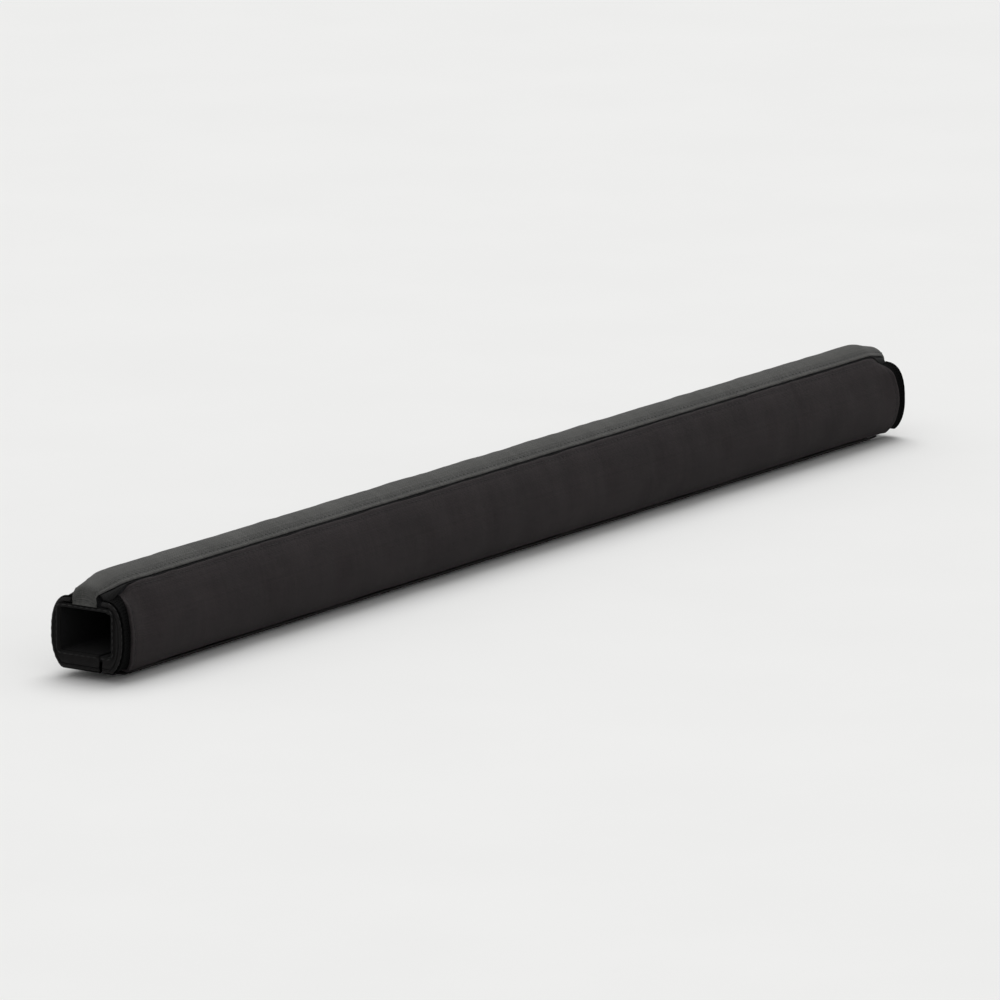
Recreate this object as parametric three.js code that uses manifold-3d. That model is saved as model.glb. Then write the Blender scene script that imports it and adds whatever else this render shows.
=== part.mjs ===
// Padded sleeve with a crowned grey top, tapered ends and a rectangular channel from end to end.
// Millimetres. X runs along the sleeve, Z is up, and the origin is the middle of the flat underside.
import * as THREE from 'three';
import Module from 'manifold-3d';
import { mergeVertices } from 'three/addons/utils/BufferGeometryUtils.js';

const wasm = await Module();
wasm.setup();

// What the channel takes, and the play round it
const barWidth = 32;
const barHeight = 22;
const barClearance = 0.5;
const channelCorner = 1.5;

// Layers of cloth, tape and foam
const pieceGap = 0.3;
const coverThickness = 1.2;
const liningThickness = 0.8;
const flapThickness = 1.2;
const hookThickness = 0.9;
const loopThickness = 0.9;
const topFoam = 15.4;
const sideFoam = 5.4;
const floorFoam = 7.5;

// Outline of the body
const padLength = 760;
const shoulderRun = 13;
const crownRise = 5.5;
const bodyShoulder = 1.4;
const bellyRun = 16.5;
const wideHeight = 21.3;

// Outline of the tapered ends
const rampLength = 20;
const rampDrop = 5.5;
const tipShoulderRun = 15.4;
const tipRise = 4.5;
const tipSeamDrop = 3;
const tipShoulder = 2.8;
const tipTaper = 1.6;
const tipBellyRun = 10.2;
const tipKeelRise = 3.6;
const tipFloorRise = 0.7;
const lipHeight = 10.5;
const endRound = 1.4;
const endRim = 0.5;

// Seams, edges and closure
const seamGroove = 2.0;
const tapeRecess = 0.5;
const tapeThickness = 0.8;
const tapeStart = 4;
const panelEndHigh = 13;
const panelEndMiddle = 9.5;
const panelEndLow = 14;
const gussetInset = 0.6;
const bindingWidth = 1.6;
const bindingThickness = 1.0;
const slitWidth = 2;
const slitSetback = 7.5;
const closureStart = 20.5;
const closureOffset = 1.5;
const closureOverhang = 1.5;

// Heights of the layers, from the underside up
const hookZ = flapThickness + pieceGap;
const loopZ = hookZ + hookThickness + pieceGap;
const coverFloorZ = loopZ + loopThickness + pieceGap;
const foamFloorZ = coverFloorZ + coverThickness + pieceGap;
const liningFloorZ = foamFloorZ + floorFoam + pieceGap;
const channelFloorZ = liningFloorZ + liningThickness;
const channelHeight = barHeight + 2 * barClearance;
const channelMidZ = channelFloorZ + channelHeight / 2;
const foamRoofZ = channelFloorZ + channelHeight + liningThickness + pieceGap;
const crownZ = foamRoofZ + topFoam + pieceGap + coverThickness;

// Widths of the layers, from the channel out
const channelWidth = barWidth + 2 * barClearance;
const channelHalf = channelWidth / 2;
const liningReach = liningThickness + pieceGap;
const wideHalf = channelHalf + liningReach + sideFoam + pieceGap + coverThickness;
const keelHalf = wideHalf - bellyRun;
const slitY = slitSetback - channelHalf;

// Places along the length, counted in from each end
const endPanelStart = bindingThickness + pieceGap;
const foamStart = endPanelStart + coverThickness + pieceGap;
const coverInset = coverThickness + pieceGap;
const tipInset = gussetInset + coverInset + pieceGap;
const lipZ = crownZ - rampDrop - lipHeight;

const bodySection = {
  crownZ,
  rise: crownRise,
  seamDrop: 0,
  seamY: wideHalf - shoulderRun,
  wideY: wideHalf,
  bellyRun,
  keelZ: 0,
  floorZ: coverFloorZ,
  shoulder: bodyShoulder,
};

const tipSection = {
  crownZ: crownZ - rampDrop,
  rise: tipRise,
  seamDrop: tipSeamDrop,
  seamY: wideHalf - tipTaper - tipShoulderRun,
  wideY: wideHalf - tipTaper,
  bellyRun: tipBellyRun,
  keelZ: tipKeelRise,
  floorZ: coverFloorZ + tipFloorRise,
  shoulder: tipShoulder,
};

// Section of the cover at a distance in from the nearer end
function sectionAt(inFromEnd) {
  const share = Math.min(inFromEnd / rampLength, 1);
  const section = {};
  for (const key of Object.keys(bodySection)) {
    section[key] = THREE.MathUtils.lerp(tipSection[key], bodySection[key], share);
  }
  return section;
}

// Arc of the grey top from its front seam to its rear seam, as [y, z] points
function crownArc(section, steps = 9) {
  const radius = (section.seamY ** 2 + section.rise ** 2) / (2 * section.rise);
  const reach = Math.asin(section.seamY / radius);
  const points = [];
  for (let i = 0; i <= steps; i += 1) {
    const angle = reach * (2 * i / steps - 1);
    points.push([radius * Math.sin(angle), section.crownZ - radius * (1 - Math.cos(angle))]);
  }
  return points;
}

// Side of the sleeve from beside the top seam to its widest line
function shoulderCurve(section, steps = 9) {
  const startY = section.seamY + seamGroove;
  const startZ = section.crownZ - section.rise - section.seamDrop;
  const power = 2 / section.shoulder;
  const points = [];
  for (let i = 0; i <= steps; i += 1) {
    const angle = Math.PI / 2 * i / steps;
    const out = Math.max(Math.sin(angle), 0) ** power;
    const up = i === steps ? 0 : Math.cos(angle) ** power;
    points.push([
      startY + (section.wideY - startY) * out,
      wideHeight + (startZ - wideHeight) * up,
    ]);
  }
  return points;
}

// Side of the sleeve from its widest line down to the edge of its flat floor
function bellyCurve(section, steps = 7) {
  const depth = wideHeight - section.keelZ;
  const lowest = Math.asin((wideHeight - section.floorZ) / depth);
  const innerY = section.wideY - section.bellyRun;
  const points = [];
  for (let i = 0; i <= steps; i += 1) {
    const angle = lowest * i / steps;
    points.push([
      innerY + section.bellyRun * Math.cos(angle),
      wideHeight - depth * Math.sin(angle),
    ]);
  }
  return points;
}

// Moves a clockwise [y, z] line inwards by a distance, as an open line or a loop
function inset(points, distance, closed = false) {
  const last = points.length - 1;
  const at = (i) => points[closed ? (i + points.length) % points.length : i];
  return points.map(([y, z], i) => {
    const before = closed || i > 0 ? at(i - 1) : points[i];
    const after = closed || i < last ? at(i + 1) : points[i];
    const inward = new THREE.Vector2(after[1] - before[1], before[0] - after[0]);
    inward.normalize().multiplyScalar(distance);
    return [y + inward.x, z + inward.y];
  });
}

// One side of the cover, from the top seam round to the slit: side is 1 for rear, -1 for front
function sideLine(section, side, distance = 0) {
  const floorEndY = slitY + side * slitWidth / 2;
  const line = [
    ...shoulderCurve(section),
    ...bellyCurve(section).slice(1),
    [side * floorEndY, section.floorZ],
  ];
  return inset(line, distance).map(([y, z]) => [side * y, z]);
}

// Whole outline of the cover as a loop, moved inwards by a distance
function outlineLoop(section, distance) {
  const half = [...shoulderCurve(section), ...bellyCurve(section).slice(1)];
  const mirrored = half.map(([y, z]) => [-y, z]).reverse();
  return inset([...crownArc(section), ...half, ...mirrored], distance, true);
}

// Position along X of a point that is so far in from the left (-1) or right (1) end
function along(end, inFromEnd) {
  return end * (padLength / 2 - inFromEnd);
}

function row(line, x) {
  return line.map(([y, z]) => new THREE.Vector3(x, y, z));
}

function signedVolume(geometry) {
  const position = geometry.getAttribute('position');
  const index = geometry.getIndex().array;
  const corner = [0, 1, 2].map(() => new THREE.Vector3());
  let volume = 0;
  for (let i = 0; i < index.length; i += 3) {
    corner.forEach((point, k) => point.fromBufferAttribute(position, index[i + k]));
    volume += corner[0].dot(corner[1].cross(corner[2])) / 6;
  }
  return volume;
}

function facingOut(geometry) {
  if (signedVolume(geometry) < 0) {
    geometry.getIndex().array.reverse();
  }
  return geometry;
}

function closedGeometry(points, triangles) {
  const geometry = new THREE.BufferGeometry();
  geometry.setFromPoints(points);
  geometry.setIndex(triangles);
  return facingOut(geometry);
}

// Two triangles of a quad of the grid, on the outer skin or the other way round on the inner
function quad(triangles, a, b, c, d) {
  triangles.push(a, b, c, a, c, d);
}

// Solid between an outer grid of points and an inner one with the same rows and columns
function gridSolid(outer, inner) {
  const rows = outer.length;
  const columns = outer[0].length;
  const points = [...outer.flat(), ...inner.flat()];
  const out = (i, j) => i * columns + j;
  const back = (i, j) => rows * columns + i * columns + j;
  const triangles = [];
  for (let i = 0; i < rows - 1; i += 1) {
    for (let j = 0; j < columns - 1; j += 1) {
      quad(triangles, out(i, j), out(i, j + 1), out(i + 1, j + 1), out(i + 1, j));
      quad(triangles, back(i, j), back(i + 1, j), back(i + 1, j + 1), back(i, j + 1));
    }
  }
  for (let i = 0; i < rows - 1; i += 1) {
    const end = columns - 1;
    quad(triangles, out(i, 0), out(i + 1, 0), back(i + 1, 0), back(i, 0));
    quad(triangles, out(i, end), back(i, end), back(i + 1, end), out(i + 1, end));
  }
  for (let j = 0; j < columns - 1; j += 1) {
    const end = rows - 1;
    quad(triangles, out(0, j), back(0, j), back(0, j + 1), out(0, j + 1));
    quad(triangles, out(end, j), out(end, j + 1), back(end, j + 1), back(end, j));
  }
  return closedGeometry(points, triangles);
}

// Direction out of the sleeve at one point of a grid of cloth
function outwardAt(grid, i, j) {
  const clampRow = (k) => grid[THREE.MathUtils.clamp(k, 0, grid.length - 1)];
  const clampColumn = (k) => grid[i][THREE.MathUtils.clamp(k, 0, grid[i].length - 1)];
  const across = clampColumn(j + 1).clone().sub(clampColumn(j - 1));
  const lengthwise = clampRow(i + 1)[j].clone().sub(clampRow(i - 1)[j]);
  const normal = across.cross(lengthwise).normalize();
  const fromMiddle = grid[i][j].clone().sub(new THREE.Vector3(0, 0, channelMidZ));
  return normal.dot(fromMiddle) < 0 ? normal.negate() : normal;
}

// Sheet of cloth whose outer face is a grid of points
function clothSolid(grid, thickness) {
  const inner = grid.map((line, i) => line.map((point, j) => (
    point.clone().addScaledVector(outwardAt(grid, i, j), -thickness)
  )));
  return gridSolid(grid, inner);
}

// Solid through a stack of loops, closed with a fan at each end
function loftSolid(loops) {
  const count = loops[0].length;
  const points = loops.flat();
  const triangles = [];
  for (let i = 0; i < loops.length - 1; i += 1) {
    for (let j = 0; j < count; j += 1) {
      const next = (j + 1) % count;
      quad(triangles, i * count + j, i * count + next, (i + 1) * count + next, (i + 1) * count + j);
    }
  }
  [loops[0], loops[loops.length - 1]].forEach((loop, which) => {
    const start = which === 0 ? 0 : (loops.length - 1) * count;
    points.push(new THREE.Vector3(loop[0].x, 0, channelMidZ));
    for (let j = 0; j < count; j += 1) {
      const edge = [start + j, start + (j + 1) % count];
      const pair = which === 0 ? edge.reverse() : edge;
      triangles.push(points.length - 1, pair[0], pair[1]);
    }
  });
  return closedGeometry(points, triangles);
}

// Extrudes a shape drawn in y and z along X from one end to the other
function prism(shape, fromX, toX, curveSegments = 4) {
  const settings = { depth: toX - fromX, bevelEnabled: false, curveSegments };
  const geometry = new THREE.ExtrudeGeometry(shape, settings);
  const basis = new THREE.Matrix4().makeBasis(
    new THREE.Vector3(0, 1, 0),
    new THREE.Vector3(0, 0, 1),
    new THREE.Vector3(1, 0, 0),
  );
  geometry.applyMatrix4(basis);
  geometry.translate(fromX, 0, 0);
  return geometry;
}

// Outline of the channel grown by a reach
function channelShape(reach) {
  const half = channelHalf + reach;
  const low = channelFloorZ - reach;
  const high = channelFloorZ + channelHeight + reach;
  const corner = channelCorner + reach;
  const shape = new THREE.Shape();
  shape.moveTo(half, low + corner);
  shape.lineTo(half, high - corner);
  shape.absarc(half - corner, high - corner, corner, 0, Math.PI / 2);
  shape.lineTo(corner - half, high);
  shape.absarc(corner - half, high - corner, corner, Math.PI / 2, Math.PI);
  shape.lineTo(-half, low + corner);
  shape.absarc(corner - half, low + corner, corner, Math.PI, Math.PI * 1.5);
  shape.lineTo(half - corner, low);
  shape.absarc(half - corner, low + corner, corner, Math.PI * 1.5, Math.PI * 2);
  return shape;
}

function rectangleShape(fromY, toY, fromZ, toZ) {
  const corners = [[fromY, fromZ], [toY, fromZ], [toY, toZ], [fromY, toZ]];
  return new THREE.Shape(corners.map(([y, z]) => new THREE.Vector2(y, z)));
}

function manifoldOf(geometry) {
  const bare = geometry.clone();
  bare.deleteAttribute('normal');
  bare.deleteAttribute('uv');
  const merged = mergeVertices(bare, 1e-4);
  return new wasm.Manifold(new wasm.Mesh({
    numProp: 3,
    vertProperties: new Float32Array(merged.getAttribute('position').array),
    triVerts: new Uint32Array(merged.getIndex().array),
  }));
}

function cutBy(geometry, ...tools) {
  let solid = manifoldOf(geometry);
  for (const tool of tools) {
    solid = solid.subtract(manifoldOf(tool));
  }
  const mesh = solid.getMesh();
  const result = new THREE.BufferGeometry();
  result.setAttribute('position', new THREE.BufferAttribute(mesh.vertProperties, 3));
  result.setIndex(new THREE.BufferAttribute(mesh.triVerts, 1));
  return result;
}

// Cut that lets the sleeve open along its underside, from below up into the channel
function slitTool() {
  const shape = rectangleShape(slitY - slitWidth / 2, slitY + slitWidth / 2, -1, channelMidZ);
  return prism(shape, -padLength, padLength);
}

function channelTool(reach) {
  return prism(channelShape(reach), -padLength, padLength);
}

// Foam block with its channel and slit
function foamCore() {
  const stations = [
    [foamStart, tipInset],
    [panelEndHigh / 2, tipInset],
    [panelEndHigh, tipInset],
    [rampLength + pieceGap, coverInset],
  ];
  const loopFor = (end, [inFromEnd, distance]) => (
    row(outlineLoop(sectionAt(inFromEnd), distance), along(end, inFromEnd))
  );
  const left = stations.map((station) => loopFor(-1, station));
  const right = stations.map((station) => loopFor(1, station)).reverse();
  return cutBy(loftSolid([...left, ...right]), channelTool(liningReach), slitTool());
}

// Thin lining of the channel
function channelLining() {
  const tube = prism(channelShape(liningThickness), along(-1, foamStart), along(1, foamStart));
  return cutBy(tube, channelTool(0), slitTool());
}

// Rows of the grey top at one end, from the bottom edge of its folded lip up the ramp
function lipRows(end) {
  const tip = crownArc(sectionAt(0));
  const folded = (share) => tip.map(([y, z]) => [y, THREE.MathUtils.lerp(lipZ, z, share)]);
  return [
    row(folded(0), along(end, 0)),
    row(folded(0.5), along(end, 0)),
    row(folded(0.82), along(end, 0.5)),
    row(folded(0.96), along(end, 1.5)),
    row(crownArc(sectionAt(3)), along(end, 3)),
    row(crownArc(sectionAt(rampLength)), along(end, rampLength)),
  ];
}

function topPanel() {
  return clothSolid([...lipRows(-1), ...lipRows(1).reverse()], coverThickness);
}

// How far in from the end a side panel stops, which is nearest the end halfway up the side
function panelEdgeAt(z) {
  const low = z < wideHeight;
  const reach = low ? wideHeight - coverFloorZ : bodySection.crownZ - bodySection.rise - wideHeight;
  const share = Math.abs(z - wideHeight) / reach;
  return THREE.MathUtils.lerp(panelEndMiddle, low ? panelEndLow : panelEndHigh, share ** 2);
}

// Row of a side of the cover whose points each lie at their own distance in from the end
function sideRow(side, end, distances, insetBy) {
  return distances.map((inFromEnd, j) => {
    const [y, z] = sideLine(sectionAt(inFromEnd), side, insetBy)[j];
    return new THREE.Vector3(along(end, inFromEnd), y, z);
  });
}

function panelEdges(side) {
  return sideLine(bodySection, side).map(([, z]) => panelEdgeAt(z));
}

function sidePanel(side) {
  const edges = panelEdges(side);
  const kink = edges.map(() => rampLength);
  const grid = [
    sideRow(side, -1, edges, 0),
    sideRow(side, -1, kink, 0),
    sideRow(side, 1, kink, 0),
    sideRow(side, 1, edges, 0),
  ];
  return clothSolid(grid, coverThickness);
}

// Dark cloth of the tapered end between a side panel and the end panel, rounded over at the end
function endGusset(side, end) {
  const straightEnd = endPanelStart + endRound;
  const edges = panelEdges(side).map((edge) => edge - pieceGap);
  const grid = [0, 0.3, 0.65, 1].map((share) => {
    const distances = edges.map((edge) => THREE.MathUtils.lerp(edge, straightEnd, share));
    return sideRow(side, end, distances, gussetInset);
  });
  for (const angle of [Math.PI / 4, Math.PI / 2]) {
    const inFromEnd = straightEnd - endRound * Math.sin(angle);
    const drawnIn = gussetInset + endRound * (1 - Math.cos(angle));
    grid.push(sideRow(side, end, edges.map(() => inFromEnd), drawnIn));
  }
  const rim = edges.map(() => endPanelStart);
  grid.push(sideRow(side, end, rim, gussetInset + endRound + endRim));
  return clothSolid(grid, coverThickness);
}

// Flat cloth across the end, with the channel's opening
function endPanel(end) {
  const insetBy = gussetInset + endRound + endRim + 2 * pieceGap;
  const outline = outlineLoop(sectionAt(endPanelStart), insetBy);
  const shape = new THREE.Shape(outline.map(([y, z]) => new THREE.Vector2(y, z)));
  const faces = [along(end, endPanelStart), along(end, endPanelStart + coverThickness)];
  const plate = prism(shape, Math.min(...faces), Math.max(...faces));
  const overLip = rectangleShape(-wideHalf, wideHalf, lipZ - pieceGap, crownZ);
  return cutBy(plate, channelTool(0), slitTool(), prism(overLip, -padLength, padLength));
}

// Tape bound round the channel's opening
function openingBinding(end) {
  const faces = [along(end, 0), along(end, bindingThickness)];
  const ring = prism(channelShape(bindingWidth), Math.min(...faces), Math.max(...faces));
  return cutBy(ring, channelTool(0), slitTool());
}

// Line across the seam groove, sunk to a depth square to the edge of the grey top
function grooveLine(section, side, depth) {
  const [before, edge] = crownArc(section).slice(-2);
  const inward = new THREE.Vector2(edge[1] - before[1], before[0] - edge[0]);
  inward.normalize().multiplyScalar(depth);
  const reaches = [pieceGap, seamGroove - pieceGap];
  return reaches.map((reach) => [side * (edge[0] + reach + inward.x), edge[1] + inward.y]);
}

// Dark tape that shows in the groove beside the grey top, from one folded lip to the other
function seamTape(side) {
  const skin = (depth) => [
    row(grooveLine(sectionAt(tapeStart), side, depth), along(-1, tapeStart)),
    row(grooveLine(bodySection, side, depth), along(-1, rampLength)),
    row(grooveLine(bodySection, side, depth), along(1, rampLength)),
    row(grooveLine(sectionAt(tapeStart), side, depth), along(1, tapeStart)),
  ];
  return gridSolid(skin(tapeRecess), skin(tapeRecess + tapeThickness));
}

// Flap that closes the underside, sewn to the front panel and dished to follow the belly
function closingFlap(steps = 5) {
  const edgeZ = coverFloorZ - pieceGap - flapThickness;
  const edge = Math.asin(1 - edgeZ / wideHeight);
  const line = [];
  for (let i = 0; i <= steps; i += 1) {
    const angle = THREE.MathUtils.lerp(edge, Math.PI / 2, i / steps);
    line.push([keelHalf + bellyRun * Math.cos(angle), wideHeight * (1 - Math.sin(angle))]);
  }
  const mirrored = line.map(([y, z]) => [-y, z]).reverse();
  const whole = [...line, ...mirrored];
  const grid = [-1, 1].map((end) => row(whole, along(end, closureStart)));
  return clothSolid(grid, flapThickness);
}

// Flat fastening tape under the rear panel
function closureStrip(z, thickness) {
  const fromY = slitY + slitWidth / 2 + closureOffset;
  const shape = rectangleShape(fromY, keelHalf + closureOverhang, z, z + thickness);
  return prism(shape, along(-1, closureStart), along(1, closureStart));
}

function cloth(color, roughness) {
  return new THREE.MeshStandardMaterial({ color, roughness, metalness: 0 });
}

const group = new THREE.Group();

function add(name, geometry, material) {
  const mesh = new THREE.Mesh(geometry, material);
  mesh.name = name;
  group.add(mesh);
}

add('foam_core', foamCore(), cloth(0x3a3a3c, 0.95));
add('channel_lining', channelLining(), cloth(0x161616, 0.8));
add('top_panel', topPanel(), cloth(0x545452, 0.85));
add('closing_flap', closingFlap(), cloth(0x262424, 0.85));
add('hook_strip', closureStrip(hookZ, hookThickness), cloth(0x101010, 0.7));
add('loop_strip', closureStrip(loopZ, loopThickness), cloth(0x141414, 0.95));

for (const [sideName, side] of [['front', -1], ['rear', 1]]) {
  add(`${sideName}_panel`, sidePanel(side), cloth(0x2a2627, 0.85));
  add(`${sideName}_seam_tape`, seamTape(side), cloth(0x151515, 0.8));
}

for (const [endName, end] of [['left', -1], ['right', 1]]) {
  add(`${endName}_end_panel`, endPanel(end), cloth(0x1d1d1d, 0.85));
  add(`${endName}_opening_binding`, openingBinding(end), cloth(0x0e0e0e, 0.75));
  add(`${endName}_front_gusset`, endGusset(-1, end), cloth(0x0b0b0b, 0.95));
  add(`${endName}_rear_gusset`, endGusset(1, end), cloth(0x0b0b0b, 0.95));
}

export default group;
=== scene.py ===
"""Looks of a padded sleeve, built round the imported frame. Metres, with X along the sleeve."""
import math

import bpy
import numpy as np
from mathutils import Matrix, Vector
from mathutils.bvhtree import BVHTree
from mathutils.interpolate import poly_3d_calc


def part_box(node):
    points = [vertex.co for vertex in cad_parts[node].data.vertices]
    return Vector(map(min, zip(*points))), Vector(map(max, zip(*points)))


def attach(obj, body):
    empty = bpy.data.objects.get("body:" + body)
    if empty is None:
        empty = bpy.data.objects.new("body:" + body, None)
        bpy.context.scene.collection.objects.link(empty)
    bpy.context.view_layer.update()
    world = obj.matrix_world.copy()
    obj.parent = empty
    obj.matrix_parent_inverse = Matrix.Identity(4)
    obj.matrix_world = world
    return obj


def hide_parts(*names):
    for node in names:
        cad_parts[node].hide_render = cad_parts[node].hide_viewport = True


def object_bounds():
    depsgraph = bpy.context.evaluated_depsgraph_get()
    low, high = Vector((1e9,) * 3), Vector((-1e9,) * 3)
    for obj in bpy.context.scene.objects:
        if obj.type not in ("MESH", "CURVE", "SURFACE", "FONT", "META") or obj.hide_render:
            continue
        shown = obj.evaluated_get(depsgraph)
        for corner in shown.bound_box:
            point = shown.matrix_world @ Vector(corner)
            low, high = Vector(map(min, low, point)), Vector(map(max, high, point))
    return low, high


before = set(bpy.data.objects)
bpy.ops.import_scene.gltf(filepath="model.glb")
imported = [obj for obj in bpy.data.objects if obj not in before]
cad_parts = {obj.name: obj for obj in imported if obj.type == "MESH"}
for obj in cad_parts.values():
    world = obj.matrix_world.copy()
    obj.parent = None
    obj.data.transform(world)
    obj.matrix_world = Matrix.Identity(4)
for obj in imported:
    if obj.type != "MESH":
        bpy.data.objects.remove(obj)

cad_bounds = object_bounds()
scene = bpy.context.scene
MM = 0.001

# ---------------------------------------------------------------- sizes from the frame
top_low, top_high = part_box("top_panel")
rear_low, rear_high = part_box("rear_panel")
lining_low, lining_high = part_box("channel_lining")
ring_low, ring_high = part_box("left_opening_binding")
flap_low, flap_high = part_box("closing_flap")

HALF_LENGTH = top_high.x
CROWN_Z = top_high.z
LIP_Z = top_low.z
SEAM_Y = top_high.y
WIDE_Y = rear_high.y
WIDE_Z = 21.3 * MM
COVER_FLOOR_Z = rear_low.z
MID_Z = (lining_low.z + lining_high.z) / 2
LINING = 0.8 * MM
CHANNEL_HALF = lining_high.y - LINING
CHANNEL_LOW = lining_low.z + LINING
CHANNEL_HIGH = lining_high.z - LINING
CHANNEL_CORNER = 1.5 * MM
RING_REACH = ring_high.y - CHANNEL_HALF
RING_START = ring_low.x + HALF_LENGTH
RING_END = ring_high.x + HALF_LENGTH
PLATE_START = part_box("left_end_panel")[0].x + HALF_LENGTH
SLIT_LOW_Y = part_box("front_panel")[1].y
SLIT_HIGH_Y = rear_low.y

# ---------------------------------------------------------------- sizes of the sewing
COVER = 1.2 * MM
THIN_COVER = COVER - 0.2 * MM
GAP = 0.3 * MM
GROOVE = 2.0 * MM
RAMP = 20 * MM
RAMP_SOFT = 3.0 * MM
PANEL_END_HIGH = 13.0 * MM
PANEL_END_MIDDLE = 9.5 * MM
PANEL_END_LOW = 14.0 * MM
GUSSET_INSET = 0.6 * MM
END_ROUND = 1.4 * MM
END_RIM = 0.5 * MM
HEM_SETBACK = 3.0 * MM

BODY = {
    "crown_z": CROWN_Z,
    "rise": 5.5 * MM,
    "seam_drop": 0.0,
    "seam_y": SEAM_Y,
    "wide_y": WIDE_Y,
    "belly_run": 16.5 * MM,
    "keel_z": 0.0,
    "floor_z": COVER_FLOOR_Z,
    "shoulder": 1.4,
}
TIP = {
    "crown_z": CROWN_Z - 5.5 * MM,
    "rise": 4.5 * MM,
    "seam_drop": 3.0 * MM,
    "seam_y": WIDE_Y - 17 * MM,
    "wide_y": WIDE_Y - 1.6 * MM,
    "belly_run": 10.2 * MM,
    "keel_z": 3.6 * MM,
    "floor_z": COVER_FLOOR_Z + 0.7 * MM,
    "shoulder": 2.8,
}


# ---------------------------------------------------------------- outline of the sleeve
def ramp_share(inward):
    """How far the section has grown from the tip's to the body's, with a soft turn at the top."""
    inward = np.asarray(inward, float)
    start = RAMP - RAMP_SOFT
    turn = inward / RAMP - (inward - start) ** 2 / (4 * RAMP_SOFT * RAMP)
    share = np.where(inward < start, inward / RAMP, turn)
    return np.where(inward > RAMP + RAMP_SOFT, 1.0, share)


def section_at(inward):
    """Sizes of the section at a distance in from the nearer end."""
    share = ramp_share(inward)
    return {key: TIP[key] + (BODY[key] - TIP[key]) * share for key in BODY}


def crown_point(section, t):
    """Point of the grey top, t from -1 at the front seam to 1 at the rear one, as y and z."""
    radius = (section["seam_y"] ** 2 + section["rise"] ** 2) / (2 * section["rise"])
    angle = np.arcsin(section["seam_y"] / radius) * t
    return radius * np.sin(angle), section["crown_z"] - radius * (1 - np.cos(angle))


def side_point(section, t, floor_end):
    """Point of one side: t is 0 to 1 on the shoulder, to 2 on the belly and to 3 on the floor."""
    start_y = section["seam_y"] + GROOVE
    start_z = section["crown_z"] - section["rise"] - section["seam_drop"]
    depth = WIDE_Z - section["keel_z"]
    inner_y = section["wide_y"] - section["belly_run"]
    lowest = np.arcsin((WIDE_Z - section["floor_z"]) / depth)
    if t <= 1:
        power = 2 / section["shoulder"]
        angle = math.pi / 2 * t
        out = max(math.sin(angle), 0.0) ** power
        up = max(math.cos(angle), 0.0) ** power
        return start_y + (section["wide_y"] - start_y) * out, WIDE_Z + (start_z - WIDE_Z) * up
    angle = lowest * min(t - 1, 1)
    y = inner_y + section["belly_run"] * np.cos(angle)
    z = WIDE_Z - depth * np.sin(angle)
    if t <= 2:
        return y, z
    return y + (floor_end - y) * (t - 2), section["floor_z"] + 0 * y


def slit_reach(side):
    """Where the floor of a side ends at the slit, counted towards that side: 1 rear, -1 front."""
    return SLIT_HIGH_Y if side > 0 else -SLIT_LOW_Y


def even_steps(curve, low, high, count, samples=400):
    """Values of t that cut a curve, given as a function of t, into even lengths."""
    fine = np.linspace(low, high, samples)
    points = np.array([np.hstack(curve(t)) for t in fine])
    length = np.r_[0, np.cumsum(np.linalg.norm(np.diff(points, axis=0), axis=1))]
    return np.interp(np.linspace(0, length[-1], count), length, fine)


def resampled(line, count):
    """A line of y and z with its points spread evenly."""
    length = np.r_[0, np.cumsum(np.linalg.norm(np.diff(line, axis=0), axis=1))]
    even = np.linspace(0, length[-1], count)
    return np.column_stack([np.interp(even, length, line[:, k]) for k in range(2)])


NOISE_KNOTS = 4096
NOISE_SHIFT = 1000


def noise_line(values, wavelength, seed):
    """Smooth random height along a line, from -1 to 1, the same on every run."""
    knots = np.random.default_rng(seed).uniform(-1, 1, NOISE_KNOTS)
    place = np.asarray(values, float) / wavelength + NOISE_SHIFT
    cell = np.floor(place).astype(int)
    share = place - cell
    share = share * share * (3 - 2 * share)
    return knots[cell % NOISE_KNOTS] * (1 - share) + knots[(cell + 1) % NOISE_KNOTS] * share


# ---------------------------------------------------------------- grids of points
LENGTH_STEP = 2.5 * MM
NEAR_ROWS = 12


def lengthwise(edges):
    """Distances in from the nearer end, and X, for rows that run from the left edge to the right."""
    edges = np.atleast_1d(edges)
    settled = RAMP + 2 * RAMP_SOFT
    near = edges + (settled - edges) * np.linspace(0, 1, NEAR_ROWS)[:, None]
    count = int(round((HALF_LENGTH - settled) / LENGTH_STEP))
    middle = np.linspace(settled, HALF_LENGTH, count + 1)[1:, None] + 0 * edges
    half = np.vstack([near, middle])
    inward = np.vstack([half, half[::-1][1:]])
    x = np.vstack([half - HALF_LENGTH, HALF_LENGTH - half[::-1][1:]])
    return inward, x


def strip_rows(start):
    """Distance in and X of each row of a strip that starts at one distance from both ends."""
    inward, x = lengthwise(start)
    return inward[:, 0], x[:, 0]


def unit(vectors):
    length = np.linalg.norm(vectors, axis=-1, keepdims=True)
    return vectors / np.maximum(length, 1e-12)


def outward_of(grid):
    """Unit normals of a grid, turned away from the middle of the sleeve."""
    normal = unit(np.cross(np.gradient(grid, axis=1), np.gradient(grid, axis=0)))
    away = grid - np.array([0, 0, MID_Z])
    sign = np.sign((normal * away).sum(-1).mean())
    return normal * (sign if sign else 1)


def drawn_in(y, z, distance):
    """Moves a grid of section points towards the inside by a distance, square to each section."""
    dy, dz = np.gradient(y, axis=1), np.gradient(z, axis=1)
    length = np.maximum(np.hypot(dy, dz), 1e-12)
    return y + dz / length * distance, z - dy / length * distance


def side_grid(side, inward, x, steps, distance=0.0):
    """Grid on one side of the sleeve, side 1 for the rear and -1 for the front."""
    columns = [
        side_point(section_at(inward[:, j]), t, slit_reach(side)) for j, t in enumerate(steps)
    ]
    y, z = (np.stack(values, axis=1) for values in zip(*columns))
    y, z = drawn_in(y, z, distance)
    return np.stack([x, side * y, z], axis=-1)


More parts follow.
